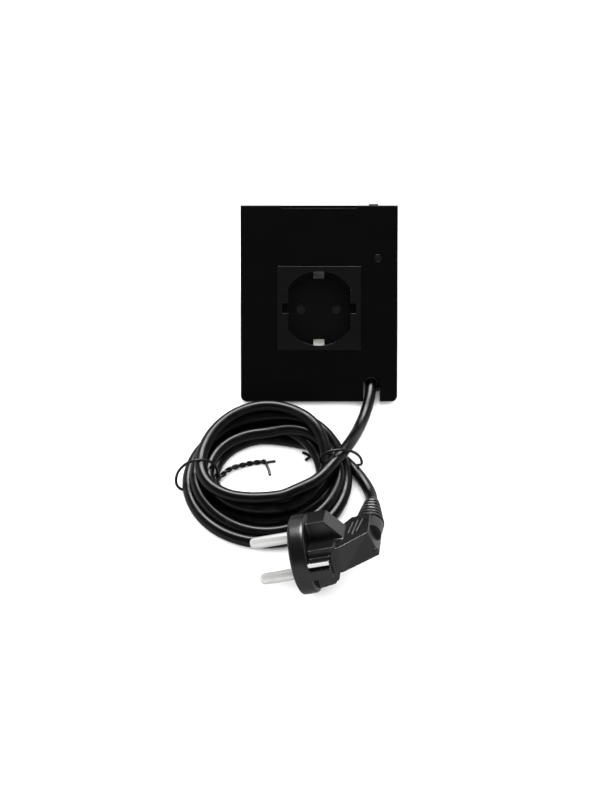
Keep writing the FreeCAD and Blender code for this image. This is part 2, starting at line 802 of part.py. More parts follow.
def cores():
    """The wires inside: three from the lead, and two from the board to the socket."""
    radius = size("core_radius")
    terminal_z = -size("panel_thick") - size("board_set") - size("board_thick") - 9.5
    terminal_y = value(BOARD_TOP) - 20.5 - 3.2
    base_top = (size("module_proud") - size("well_depth") - size("well_floor")
                - size("shutter_sheet") - 2 * size("run_gap"))
    contact_z = base_top - 0.5 - size("contact_length")
    contact_x = size("base_width") / 2 - 4.4
    strap_z = -size("panel_thick") - size("frame_sheet") - size("earth_sheet")
    strap_x = -(size("well_bore") / 2 + size("well_wall") + 3) - 3.6
    deep = 9
    start = [LEAD_ROUTE[0][0] + d for d in (-1.6, 0, 1.6)]
    y0 = FRONT + LEAD_ROUTE[0][1]
    z0 = CORD_Z

    def terminal(x):
        return [point_of(FACE, x, terminal_y, terminal_z - deep), point_of(FACE, x, terminal_y, terminal_z)]

    def pin(side):
        return [point_of(MODULE, side * contact_x, 0, contact_z - deep),
                point_of(MODULE, side * contact_x, 0, contact_z)]

    cord_node("mains_live_wire", [
        (start[2], y0, z0 - 0.8), (start[2], -3, z0 - 0.8), (29, 12, 8), (23, 25, 13), (11, 33, 22),
        *terminal(4)], radius)
    cord_node("mains_neutral_wire", [
        (start[0], y0, z0 - 0.8), (start[0], -3, z0 - 0.8), (24, 11, 5.6), (16, 24, 8), (5, 33, 18),
        *terminal(-2)], radius)
    cord_node("earth_wire", [
        (start[1], y0, z0 + 1.6), (start[1], -4, z0 + 1.6), (23, 8, 8.4), (9, 16, 6), (-8, 19, 6.4),
        (-22, 16, 10), point_of(MODULE, strap_x, 0, strap_z - 14), point_of(MODULE, strap_x, 0, strap_z)],
        radius)
    cord_node("socket_live_wire", [
        *reversed(pin(1)), (8, 24.5, 17), (-2, 30, 23), *terminal(-8)], radius)
    cord_node("socket_neutral_wire", [
        *reversed(pin(-1)), (-17, 27.5, 14), (-17.6, 33.4, 22), *terminal(-16)], radius)


# ---- coil and ties ----

COIL_MIDDLE = (-27, FRONT - 51)


def ring_outline(long, wide, y, z):
    ellipse = Part.Ellipse(Vector(COIL_MIDDLE[0], y, z), long, wide)
    return Part.Wire(ellipse.toShape())


def leaning_ring(foot, head, low, high):
    """A solid between a foot outline and a head outline that is set further back."""
    lean = size("coil_lean") / 2
    return Part.makeLoft([
        ring_outline(foot[0], foot[1], COIL_MIDDLE[1] - lean, low),
        ring_outline(head[0], head[1], COIL_MIDDLE[1] + lean, high)], True, True)


def cord_coil():
    """The coil's outer shape: a leaning ring, wider at its foot, that lies on the same surface."""
    high = size("coil_height")
    outer = leaning_ring((size("coil_long"), size("coil_wide")),
                         (size("coil_long") - 4, size("coil_wide") - 3), 0, high)
    eye = leaning_ring((size("coil_eye_long"), size("coil_eye_wide")),
                       (size("coil_eye_long") + 2, size("coil_eye_wide") + 1), -0.01, high + 0.01)
    return fixed("cord_coil", outer.cut(eye))


def tie(label, side, tail_length, lean):
    """A wire tie: a loop round the coil's turns and its twisted tail."""
    wire = size("tie_wire")
    high = size("coil_height")
    outer = size("coil_long") + 1.2
    inner = size("coil_eye_long") - 1.2
    wide = outer - inner
    low = Vector(COIL_MIDDLE[0] + side * (outer + inner) / 2 - wide / 2, COIL_MIDDLE[1] - wire, 0.1)
    loop = Part.makeBox(wide, 2 * wire, high + 2 * wire, low)
    gap = Part.makeBox(wide - 4 * wire, 2 * wire + 2, high - 0.4, low + Vector(2 * wire, -1, 2 * wire))
    start = Vector(COIL_MIDDLE[0] + side * inner, COIL_MIDDLE[1], high - 1)
    tail = Part.makeCylinder(wire * 1.2, tail_length, start, Vector(-side, lean, -0.12))
    return fixed(label, loop.cut(gap).fuse(tail))


# ---- plug: x along the pins, y across them, z towards the cord's boot ----


def plug_body():
    """The moulded body: disc with grooves, tapering shoulders and the angled arm."""
    half_disc = "plug_disc / 2"
    disc = rod("-plug_rim", "0", "0", half_disc, "plug_rim", "x")
    arm = new_body("ArmBody")
    side = sketch_on(arm, "XZ_Plane", "ArmSide")
    outline(side, [
        ("1 - plug_rim", -12.5), ("-plug_rim - 13.8", -12.5), ("-boot_side - 2.5", -1),
        ("-boot_side - 7.5", 6), ("-boot_side - 7.5", BOOT_START), ("7 - boot_side", BOOT_START),
        ("-plug_rim - 13", 10), ("1 - plug_rim", 8),
    ])
    grow(arm, "Pad", side, "plug_arm", middle=True)
    shoulder = new_body("ShoulderBody")
    plan = sketch_on(shoulder, "XY_Plane", "ShoulderPlan")
    outline(plan, [
        ("1 - plug_rim", -16), ("1 - plug_rim", 16), ("-plug_rim - 3", 14.5),
        ("-plug_rim - 14", "plug_arm / 2"), ("-plug_rim - 14", "-plug_arm / 2"), ("-plug_rim - 3", -14.5),
    ])
    grow(shoulder, "Pad", plan, "10")
    bars = [slab("-plug_rim - 4", "0", z, "10", "8", "7") for z in ("-%s + 1.2" % half_disc, half_disc + " - 8.2")]
    grooves = []
    for s in ("-1", "1"):
        grooves.append(slab("-plug_rim / 2", s + " * " + half_disc, "-2.8", "plug_rim + 2", "5.4", "5.6"))
        grooves.append(slab("-plug_rim / 2", "0", "%s * %s - 1.2" % (s, half_disc), "plug_rim + 2", "6", "2.4"))
    return node("plug_body", cut(join(disc, arm, shoulder, *bars), *grooves), PLUG)


def plug_pin(label, s):
    y = s + " * pin_pitch / 2"
    stem = rod("0", y, "0", "plug_pin / 2", "plug_pin_length - 1.6", "x")
    tip = cone("plug_pin_length - 1.6", y, "0", "plug_pin / 2", "plug_pin / 4", "1.6", "x")
    return node(label, join(stem, tip), PLUG)


def plug_earth_clips():
    z = "plug_disc / 2 - 1.2"
    return node("plug_earth_clips", group(
        slab("-plug_rim / 2 - 2.2", "0", z, "plug_rim + 4", "5", "0.6"),
        slab("-plug_rim / 2 - 2.2", "0", "-(%s) - 0.6" % z, "plug_rim + 4", "5", "0.6")), PLUG)


def plug_boot():
    """The tapered strain relief of the plug, with ring grooves."""
    boot = cone("-boot_side", "0", BOOT_START, "boot_root", "cord_radius + boot_lip", "boot_length")
    grooves = []
    for k in range(5):
        z = BOOT_START + 6 + 4.6 * k
        grooves.append(cut(rod("-boot_side", "0", z, "boot_root + 2", "1.6"),
                           rod("-boot_side", "0", z - 0.5, "cord_radius + boot_lip + 0.2 - %s" % (0.05 * k), "3")))
    return node("plug_boot", cut(boot, *grooves), PLUG)


def build():
    front_panel()
    housing()
    rubber_feet()
    socket_cover()
    socket_base()
    contact("live_contact", "1")
    contact("neutral_contact", "-1")
    earth_strap()
    socket_shutter()
    shutter_spring()
    mounting_frame()
    frame_screws()
    terminal_screws()
    control_board()
    board_screws()
    board_parts()
    light_pipe()
    button_cap()
    switch_plunger()
    tact_switch()
    cord_relief()
    cord_clamp()
    clamp_screws()
    cords()
    cores()
    cord_coil()
    tie("tie_left", -1, 26, -0.25)
    tie("tie_right", 1, 9, -0.1)
    plug_body()
    plug_pin("plug_live_pin", "1")
    plug_pin("plug_neutral_pin", "-1")
    plug_earth_clips()
    plug_boot()


def check():
    for item in doc.Objects:
        if "Invalid" in item.State or "Error" in item.State:
            raise RuntimeError("%s (%s) failed: %s" % (item.Label, item.Name, item.State))
    for label, item in nodes.items():
        if item.Shape.isNull() or not item.Shape.isValid() or not item.Shape.Solids:
            raise RuntimeError("%s has no valid solid" % label)


def write():
    os.makedirs("parts", exist_ok=True)
    for label, item in nodes.items():
        item.Shape.exportStep("parts/%s.step" % label)
    print(len(nodes), "nodes written")


build()
doc.recompute()
check()
write()
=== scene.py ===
import json
from math import cos, sin, pi, radians, tau

import bmesh
import bpy
from mathutils import Matrix, Vector


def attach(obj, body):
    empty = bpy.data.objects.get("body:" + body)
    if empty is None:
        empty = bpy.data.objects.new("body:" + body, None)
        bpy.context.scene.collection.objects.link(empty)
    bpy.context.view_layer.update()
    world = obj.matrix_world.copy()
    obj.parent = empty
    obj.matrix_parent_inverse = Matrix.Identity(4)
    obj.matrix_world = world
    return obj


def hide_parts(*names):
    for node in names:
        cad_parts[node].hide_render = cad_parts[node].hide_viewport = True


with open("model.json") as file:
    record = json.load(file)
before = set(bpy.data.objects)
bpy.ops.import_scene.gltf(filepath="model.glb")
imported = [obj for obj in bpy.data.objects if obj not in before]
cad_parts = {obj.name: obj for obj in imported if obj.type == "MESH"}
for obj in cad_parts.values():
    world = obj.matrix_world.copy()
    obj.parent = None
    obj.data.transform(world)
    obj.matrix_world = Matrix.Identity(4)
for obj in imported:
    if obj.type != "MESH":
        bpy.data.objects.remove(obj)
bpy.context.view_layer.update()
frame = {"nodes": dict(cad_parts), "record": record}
scene = bpy.context.scene
MM = 0.001
AXES = "xyz"

# Camera: above and in front, looking square at the sloped face.
camera = bpy.data.cameras.new("camera")
camera.lens = 49.95
camera.sensor_width = 36
viewpoint = bpy.data.objects.new("camera", camera)
viewpoint.location = (-0.0103, -0.4459, 0.45015)
viewpoint.rotation_euler = (radians(42), 0, 0)
scene.collection.objects.link(viewpoint)
scene.camera = viewpoint

# The plug lies on its side: x along the pins, y across them, z along the arm to the cord.
PLUG = (Matrix.Translation((-0.0116, -0.153843, 0.01795))
        @ Matrix.Rotation(radians(180.5), 4, "Z")
        @ Matrix.Rotation(radians(15.6), 4, "Y")
        @ Matrix.Rotation(radians(118.7), 4, "X"))


# ---- finishes ----

class Reading:
    """A node's output, to be used in sums."""

    def __init__(self, nodes, socket):
        self.nodes, self.socket = nodes, socket

    def sum_with(self, operation, other, swapped=False):
        first, second = (other, self) if swapped else (self, other)
        return self.nodes.add("Math", {"operation": operation}, {0: first, 1: second})

    def __add__(self, other):
        return self.sum_with("ADD", other)

    def __radd__(self, other):
        return self.sum_with("ADD", other, True)

    def __sub__(self, other):
        return self.sum_with("SUBTRACT", other)

    def __rsub__(self, other):
        return self.sum_with("SUBTRACT", other, True)

    def __mul__(self, other):
        return self.sum_with("MULTIPLY", other)

    def __rmul__(self, other):
        return self.sum_with("MULTIPLY", other, True)


class Nodes:
    """The node tree of a material or a world, emptied and filled again."""

    def __init__(self, owner):
        owner.use_nodes = True
        self.tree = owner.node_tree
        self.tree.nodes.clear()

    def add(self, kind, settings=None, inputs=None, out=0):
        """One node: its settings, then the values or links of its inputs; gives one output."""
        node = self.tree.nodes.new("ShaderNode" + kind)
        for name, value in (settings or {}).items():
            if name == "stops":
                marks = node.color_ramp.elements
                while len(marks) < len(value):
                    marks.new(0.5)
                for mark, (where, colour) in zip(marks, value):
                    mark.position, mark.color = where, (*colour, 1)
            else:
                setattr(node, name, value)
        for name, value in (inputs or {}).items():
            if isinstance(value, Reading):
                self.tree.links.new(value.socket, node.inputs[name])
            else:
                node.inputs[name].default_value = value
        return None if out is None else Reading(self, node.outputs[out])


class Finish(Nodes):
    """One material; its patterns lie on the piece's own coordinates."""

    def __init__(self, name):
        self.material = bpy.data.materials.new(name)
        super().__init__(self.material)
        self.place = self.add("TexCoord", out="Object")

    def noise(self, scale, detail=2.0, place=None):
        inputs = {"Vector": place or self.place, "Scale": scale, "Detail": detail}
        return self.add("TexNoise", None, inputs)

    def stretched(self, scale):
        return self.add("Mapping", None, {"Vector": self.place, "Scale": scale})

    def weave(self, direction, scale):
        inputs = {"Vector": self.place, "Scale": scale}
        return self.add("TexWave", {"bands_direction": direction}, inputs, "Fac")

    def mix(self, share, first, second):
        """A colour between two; the Mix node's colour sockets are 6 and 7, its result is 2."""
        colours = [c if isinstance(c, Reading) else (*c, 1) for c in (first, second)]
        return self.add("Mix", {"data_type": "RGBA"}, {0: share, 6: colours[0], 7: colours[1]}, 2)

    def band(self, reading, low, high):
        """0 below low, 1 above high, smooth between."""
        return self.add("MapRange", {"interpolation_type": "SMOOTHSTEP"},
                        {"Value": reading, "From Min": low, "From Max": high})

    def relief(self, height, depth, edge=0.0):
        """A bumped normal; edge rounds sharp corners by that radius."""
        inputs = {"Height": height, "Strength": 1.0, "Distance": depth}
        if edge:
            inputs["Normal"] = self.add("Bevel", {"samples": EDGE_SAMPLES}, {"Radius": edge})
        return self.add("Bump", None, inputs)

    def surface(self, **inputs):
        """The Principled shader, its inputs named with underscores for spaces."""
        named = {name.replace("_", " "): value for name, value in inputs.items()}
        self.add("OutputMaterial", None, {"Surface": self.add("BsdfPrincipled", None, named)}, None)
        return self.material


EDGE_SAMPLES = 6
WORN_GLOSS = 0.06


def moulding(name, dark, pale, rough=0.4, grain=2600, depth=0.00002, edge=0.0003, sheen=0.3):
    """Injection-moulded plastic: fine spark grain, faint flow marks, shinier worn patches."""
    f = Finish(name)
    fine = f.noise(grain, 2)
    broad = f.noise(55, 4)
    flow = f.noise(1.0, 3, f.stretched((30, 30, 140)))
    patch = f.band(broad, 0.35, 0.7)
    colour = f.mix(patch * 0.7 + flow * 0.3, dark, pale)
    dullness = rough + (fine - 0.5) * 0.10 + (flow - 0.5) * 0.06 - patch * WORN_GLOSS
    return f.surface(Base_Color=colour, Roughness=dullness, Specular_IOR_Level=sheen,
                     Normal=f.relief(fine * 0.8 + broad * 0.2, depth, edge))


def rolled(name, colour, tarnish, rough, brushed=(1800, 60, 60), depth=0.000012, bare=1.0):
    """Metal with drawn or brushed lines, and slight tarnish."""
    f = Finish(name)
    lines = f.noise(1.0, 3, f.stretched(brushed))
    cloud = f.noise(120, 4)
    spot = f.band(cloud, 0.48, 0.75)
    return f.surface(Base_Color=f.mix(spot, colour, tarnish), Metallic=bare,
                     Roughness=rough + (lines - 0.5) * 0.16 + spot * 0.12,
                     Normal=f.relief(lines, depth, 0.0002))


def sheath(name, dark, pale, rough, depth=0.00003, sheen=0.5):
    """Extruded cable sheath: waves from the cores in it, a drawn grain, dull handling marks."""
    f = Finish(name)
    waves = f.noise(95, 1)
    grain = f.noise(1900, 2)
    dull = f.band(f.noise(160, 4), 0.5, 0.72)
    return f.surface(Base_Color=f.mix(dull, dark, pale), Specular_IOR_Level=sheen,
                     Roughness=rough + dull * 0.12 + (grain - 0.5) * 0.03,
                     Normal=f.relief(waves * 0.985 + grain * 0.015, depth))


def laminate(name):
    """Circuit board: green resist over glass cloth, with copper tracks showing through."""
    f = Finish(name)
    cloth = (f.weave("X", 520) + f.weave("Z", 520)) * 0.5
    tracks = f.noise(240, 0)
    copper = f.band(tracks, 0.5, 0.53) - f.band(tracks, 0.56, 0.59)
    resist = f.mix(cloth, (0.006, 0.07, 0.022), (0.01, 0.1, 0.035))
    return f.surface(Base_Color=f.mix(copper, resist, (0.03, 0.2, 0.06)),
                     Roughness=0.32 + cloth * 0.1, Coat_Weight=0.3,
                     Normal=f.relief(cloth * 0.3 + copper * 0.7, 0.00003, 0.0001))


def clear(name, tint, haze):
    """Clear or tinted glass and lens plastic, with faint moulding haze."""
    f = Finish(name)
    cloud = f.noise(300, 3)
    shade = tuple(c * 0.8 for c in tint)
    return f.surface(Base_Color=f.mix(cloud, tint, shade), Roughness=haze + cloud * 0.08,
                     Transmission_Weight=0.7, IOR=1.5, Normal=f.relief(cloud, 0.00001))


FINISHES = {
    "panel": moulding("panel_satin_black", (0.0007, 0.0007, 0.0008), (0.0011, 0.0011, 0.0012),
                      0.34, 3200, 0.000006, 0.00035, 0.1),
    "housing": moulding("housing_grained_black", (0.0012, 0.0012, 0.0013), (0.0024, 0.0024, 0.0026),
                        0.5, 1900, 0.00003, 0.0005, 0.25),
    "rubber": moulding("foot_rubber", (0.008, 0.008, 0.008), (0.014, 0.013, 0.013),
                       0.78, 1400, 0.00005, 0.0003, 0.2),
    "module": moulding("socket_module_black", (0.0018, 0.0018, 0.002), (0.0028, 0.0028, 0.003),
                       0.33, 2800, 0.000008, 0.00045, 0.15),
    "carrier": moulding("socket_base_grey", (0.16, 0.16, 0.155), (0.21, 0.21, 0.2), 0.5, 2000),
    "brass": rolled("contact_brass", (0.75, 0.5, 0.18), (0.45, 0.27, 0.1), 0.3),
    "spring_metal": rolled("spring_nickel", (0.22, 0.215, 0.2), (0.1, 0.098, 0.095),
                           0.32, (60, 60, 1800)),
    "steel": rolled("zinc_steel", (0.6, 0.61, 0.63), (0.38, 0.39, 0.4),
                    0.32, (200, 200, 200), 0.00002),
    "board": laminate("board_green_resist"),
    "component": moulding("component_black_epoxy", (0.012, 0.012, 0.013), (0.03, 0.03, 0.032),
                          0.45, 1800, 0.00003, 0.0002),
    "terminal": moulding("terminal_green", (0.02, 0.16, 0.06), (0.035, 0.22, 0.085),
                         0.42, 2200, 0.00002, 0.0002),
    "shield": rolled("tinned_shield", (0.66, 0.67, 0.68), (0.5, 0.5, 0.5), 0.28, (60, 900, 60)),
    "led": clear("led_epoxy", (0.85, 0.88, 0.8), 0.1),
    "fuse_glass": clear("fuse_glass", (0.92, 0.95, 0.93), 0.03),
    "lens": moulding("lens_smoked", (0.003, 0.0028, 0.0028), (0.005, 0.0047, 0.0047),
                     0.22, 3500, 0.000003, 0.0002, 0.4),
    "cord": sheath("cord_black_sheath", (0.0008, 0.0008, 0.0009), (0.0018, 0.0019, 0.0021),
                   0.29, 0.00002, 0.22),
    "core_brown": sheath("core_brown", (0.1, 0.032, 0.012), (0.14, 0.05, 0.02), 0.36),
    "core_blue": sheath("core_blue", (0.01, 0.06, 0.3), (0.02, 0.09, 0.38), 0.36),
    "core_green": sheath("core_green_yellow", (0.03, 0.2, 0.03), (0.6, 0.55, 0.04), 0.36),
    "mark": moulding("raised_mark_grey", (0.05, 0.05, 0.052), (0.08, 0.08, 0.083),
                     0.4, 2400, 0.00001, 0.0002, 0.5),
    "tie": sheath("tie_coated_wire", (0.0015, 0.0015, 0.0015), (0.004, 0.004, 0.004),
                  0.35, 0.00003, 0.35),
    "plug_mould": moulding("plug_satin_black", (0.0009, 0.0009, 0.001), (0.0022, 0.0022, 0.0024),
                           0.32, 1900, 0.00003, 0.0002, 0.5),
    "nickel": rolled("pin_nickel", (0.56, 0.56, 0.55), (0.5, 0.49, 0.48),
                     0.3, (60, 900, 900), 0.000002, 0.55),
    "shutter": moulding("shutter_black", (0.006, 0.006, 0.0065), (0.01, 0.01, 0.0105),
                        0.4, 2600, 0.000012, 0.0002),
    "button": moulding("button_black", (0.0012, 0.0012, 0.0013), (0.0024, 0.0024, 0.0025),
                       0.4, 2600, 0.00001, 0.0004, 0.3),
}

for part in frame["record"]["subparts"]:
    node = frame["nodes"][part["node"]]
    finish = FINISHES[part["material_slot"]]
    if not node.material_slots:
        node.data.materials.append(finish)
    for held in node.material_slots:
        held.material = finish


# ---- shapes ----

def keep(bm, name, kind, place=Matrix(), scale=MM, smooth=40):
    """A finished piece from a shape drawn in millimetres: outward faces, shading, finish, body."""
    bmesh.ops.remove_doubles(bm, verts=bm.verts, dist=1e-5)
    bmesh.ops.recalc_face_normals(bm, faces=bm.faces)
    bm.transform(place @ Matrix.Scale(scale, 4))
    data = bpy.data.meshes.new(name)
    bm.to_mesh(data)
    bm.free()
    data.shade_smooth()
    data.set_sharp_from_angle(angle=radians(smooth))
    piece = bpy.data.objects.new(name, data)
    scene.collection.objects.link(piece)
    data.materials.append(FINISHES[kind])
    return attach(piece, "body")


def prism(bm, outline, along, low, high, edge=0.0):
    """A block: its outline drawn across one axis and pushed along it; edge bevels its corners."""
    axis = AXES.index(along)
    corners = [bm.verts.new((*point[:axis], low, *point[axis:])) for point in outline]
    base = bm.faces.new(corners)
    grown = bmesh.ops.extrude_face_region(bm, geom=[base])["geom"]
    far = [g for g in grown if isinstance(g, bmesh.types.BMVert)]
    push = [0.0, 0.0, 0.0]
    push[axis] = high - low
    bmesh.ops.translate(bm, verts=far, vec=push)
    made = set(corners + far)
    gaps = [e for e in bm.edges if e.is_boundary and made.issuperset(e.verts)]
    if gaps:
        bmesh.ops.holes_fill(bm, edges=gaps, sides=0)
    if edge:
        bmesh.ops.bevel(bm, geom=[e for e in bm.edges if made.issuperset(e.verts)],
                        offset=edge, offset_type="OFFSET", segments=2, profile=0.5,
                        affect="EDGES", clamp_overlap=True, material=-1)
    return made


def spun(bm, outline, steps=64, centre=(0, 0, 0), axis=(1, 0, 0), across=(0, 1, 0)):
    """A round piece: an outline of (along, out) pairs turned once about an axis."""
    axis, across, centre = Vector(axis), Vector(across), Vector(centre)
    points = [bm.verts.new(centre + axis * a + across * r) for a, r in outline]
    line = [bm.edges.new(pair) for pair in zip(points, points[1:])]
    bmesh.ops.spin(bm, geom=points + line, cent=centre, axis=axis, angle=tau, steps=steps,
                   use_merge=True)
    bmesh.ops.remove_doubles(bm, verts=bm.verts, dist=1e-4)


def worked(rough, *spares):
    """The mesh that a rough piece's modifiers give; the rough piece and its spares are removed."""
    made = bmesh.new()
    made.from_object(rough, bpy.context.evaluated_depsgraph_get())
    for spare in (rough, *spares):
        bpy.data.objects.remove(spare)
    return made


def melted(bm, name, kind, place, voxel):
    """Overlapping solids joined into one moulding with softly rounded corners."""
    bmesh.ops.recalc_face_normals(bm, faces=bm.faces)
    rough = keep(bm, name + "_rough", kind, scale=1)
    join = rough.modifiers.new("join", "REMESH")
    join.mode, join.voxel_size = "VOXEL", voxel
    ease = rough.modifiers.new("ease", "SMOOTH")
    ease.factor, ease.iterations = 0.5, 3
    return keep(worked(rough), name, kind, place, smooth=60)


def drawn(runs, radius=0.0, rounding=5, resolution=6):
    """The mesh of a round wire along smooth open runs of points; with no radius, their line."""
    curve = bpy.data.curves.new("runs", "CURVE")
    curve.dimensions = "3D"
    curve.bevel_depth = radius
    curve.bevel_resolution = rounding
    curve.resolution_u = resolution
    curve.use_fill_caps = True
    for points in runs:
        run = curve.splines.new("NURBS")
        run.points.add(len(points) - 1)
        for mark, point in zip(run.points, points):
            mark.co = (*point, 1)
        run.order_u = 3
        run.use_endpoint_u = True
    guide = bpy.data.objects.new("guide", curve)
    scene.collection.objects.link(guide)
    shaped = guide.evaluated_get(bpy.context.evaluated_depsgraph_get())
    mesh = bpy.data.meshes.new_from_object(shaped)
    bpy.data.objects.remove(guide)
    bpy.data.curves.remove(curve)
    return mesh


def wire(name, kind, runs, *gauge):
    """A finished wire or cable; gauge is its radius, and how fine its section and line are."""
    mesh = drawn(runs, *gauge)
    mesh.name = name
    mesh.shade_smooth()
    mesh.materials.clear()
    mesh.materials.append(FINISHES[kind])
    piece = bpy.data.objects.new(name, mesh)
    scene.collection.objects.link(piece)
    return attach(piece, "body")


def line_of(points):
    """The smooth line that a run of points gives, read from its own spline."""
    mesh = drawn([points])
    line = [v.co.copy() for v in mesh.vertices]
    bpy.data.meshes.remove(mesh)
    return line


def twisted(points, gap, lay):
    """Two strands wound round a line; gap is from the line to a strand's middle."""
    line = line_of(points)
    strands = [[], []]
    turned = 0.0
    side = Vector((0, 0, 1))
    for here, ahead in zip(line, line[1:] + [line[-1] * 2 - line[-2]]):
        way = (ahead - here).normalized()
        side = (side - way * side.dot(way)).normalized()
        over = way.cross(side)
        for strand, shift in zip(strands, (0, pi)):
            strand.append(here + (side * cos(turned + shift) + over * sin(turned + shift)) * gap)
        turned += tau * (ahead - here).length / lay
    return strands


def finer(points, step):
    """Points evenly spaced along the smooth line of a run, for a twist to follow."""
    line = line_of(points)
    out, left = [line[0]], 0.0
    for a, b in zip(line, line[1:]):
        length = (b - a).length
        while left + length >= step:
            share = (step - left) / length
            a = a.lerp(b, share)
            length = (b - a).length
            left = 0.0
            out.append(a.copy())
        left += length
    return out


# ---- the mains cord ----

CORD_RADIUS = 0.003
# From the sleeve inside, out through the notch and over the coil.
LEAD = [(0.0284, -0.013543, 0.0072), (0.0285, -0.028043, 0.0072), (0.028, -0.042043, 0.0063),
        (0.0246, -0.054043, 0.0036), (0.0206, -0.065043, 0.0044), (0.0174, -0.075543, 0.0098),
        (0.0134, -0.086043, 0.0142)]
# From under the coil to the plug's boot.
TAIL = [(-0.006, -0.074643, 0.0032), (0.0035, -0.077543, 0.0031), (0.012, -0.084543, 0.0032),
        (0.019, -0.093543, 0.0031), (0.0238, -0.102643, 0.0033)]
BOOT_MOUTH, BOOT_INSIDE = (-0.033, 0, 0.0485), (-0.033, 0, 0.036)
COIL_MIDDLE = (-27, -97)
# Each turn in millimetres, clockwise from above: the cord's reach from the middle and its
# height, at the right, front right, front, left, back and back right.
TURNS = [
    ((33.5, 15.6), (22.4, 14.8), (20.6, 13.9), (34, 14.2), (36.5, 18.7), (33.9, 19.4)),
    ((30.4, 11), (25.6, 9), (23.6, 8.4), (30.4, 8.5), (25.8, 8.9), (31.3, 13.8)),
    ((37.6, 7.9), (35.6, 5.4), (34, 3.1), (36.9, 8.5), (33, 13.8), (37.9, 13.6)),
    ((41.2, 4), (41, 3.1), (40.2, 3.1), (41, 3.1), (34.8, 8.5), (35.2, 8.5)),
    ((34, 3.1), (29, 3.1), (27.4, 3.1), (34.4, 3.1), (32.6, 3.2), (28.6, 9.1)),
    ((28.6, 3.9), (23, 3.3), (21.2, 3.1), (28, 3.1), (26.8, 3.1)),
]
BEARINGS = (0, 45, 90, 180, 270, 315)
COIL_STEP = 22.5


def coil_point(bearing, reach, height):
    angle = radians(bearing)
    return (MM * (COIL_MIDDLE[0] + reach * cos(angle)), MM * (COIL_MIDDLE[1] - reach * sin(angle)),
            MM * height)


def coil():
    """The coil's points, eased from one given place to the next."""
    stations = [(turn * 360 + bearing, *spot) for turn, row in enumerate(TURNS)
                for bearing, spot in zip(BEARINGS, row)]
    points = []
    for (a, r1, h1), (b, r2, h2) in zip(stations, stations[1:]):
        count = round((b - a) / COIL_STEP)
        for k in range(count):
            share = k / count
            eased = share * share * (3 - 2 * share)
            points.append(coil_point(a + (b - a) * share, r1 + (r2 - r1) * eased,
                                     h1 + (h2 - h1) * eased))
    return points + [coil_point(*stations[-1])]


ROUTE = LEAD + coil() + TAIL + [tuple(PLUG @ Vector(spot)) for spot in (BOOT_MOUTH, BOOT_INSIDE)]
cord = wire("mains_cord", "cord", [ROUTE], CORD_RADIUS)
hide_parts("cord_lead", "cord_coil", "cord_tail")
middle = line_of(ROUTE)

# ---- wire ties ----

# In millimetres: each tie's loop round the coil, the line of its twist, and its two loose ends.
LEFT_LOOP = [(-51.4, -97.2, 1.5), (-51.8, -95.4, 8), (-54.6, -94.6, 13.5), (-59.6, -96.6, 18),
             (-65.2, -97.6, 17.6), (-69.6, -97.8, 13.6), (-72.6, -98.4, 8.6), (-73.4, -101.3, 4),
             (-70.4, -103.5, 0.9), (-62, -101, 0.8), (-54, -98, 0.8), (-51.2, -96.8, 2.4)]
LEFT_TWIST = [(-51, -96.4, 3), (-47.6, -91.3, 3), (-41.8, -88.1, 2), (-34.1, -85.3, 1.4),
              (-28.4, -84.8, 1.4)]
LEFT_ENDS = ([(-26.4, -84.4, 1), (-23, -84.1, 0.8)],
             [(-27.4, -87, 1), (-26.2, -90, 0.8), (-25.7, -93.2, 0.8)])
RIGHT_LOOP = [(-1.6, -84.6, 2.6), (-0.6, -86, 8), (-0.1, -95.9, 14.0), (-0.6, -94.6, 16.5),
              (2.4, -93.8, 19.8), (7.5, -93.1, 21.0), (12.8, -91.7, 19.6), (17.4, -90.0, 15.5),
              (20.6, -88.8, 10.0), (21.7, -88.7, 5.0), (20.6, -87, 0.8), (10, -86, 0.8),
              (0, -84, 0.8), (-1.4, -84, 2.4)]
RIGHT_TWIST = [(-0.2, -82.4, 3.4), (-1.6, -82, 2.8), (-3, -81.8, 2.2), (-4.2, -81.6, 1.8)]
RIGHT_ENDS = ([(-6.2, -80.2, 1.5), (-8.9, -78.5, 1.3)], [(-5.8, -82.4, 1.4), (-7.6, -83.5, 1)])
TIE_RADIUS, TIE_LAY, TIE_STEP = 0.00072, 0.0078, 0.0006


def metres(points):
    return [Vector(p) * MM for p in points]


def tie(name, node, loop, twist, ends):
    strands = twisted(finer(metres(twist), TIE_STEP), TIE_RADIUS, TIE_LAY)
    for strand, end in zip(strands, ends):
        strand.extend(metres(end))
    piece = wire(name, "tie", [metres(loop)] + strands, TIE_RADIUS, 3, 3)
    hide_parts(node)
    return piece


tie_left = tie("tie_left_wire", "tie_left", LEFT_LOOP, LEFT_TWIST, LEFT_ENDS)
tie_right = tie("tie_right_wire", "tie_right", RIGHT_LOOP, RIGHT_TWIST, RIGHT_ENDS)

# ---- housing ----

# The lower corners behind the plate are cut round, on the face's own axes: x across it,
# y up it from the plate's foot, z out of it.
FACE = Matrix.Translation((0, -0.0450427, 0.003721)) @ Matrix.Rotation(radians(45), 4, "X")
HALF_WIDTH, CORNER, SPARE = 42.3, 3.2, 2
CUT_BACK, CUT_FRONT = -22, -2.9

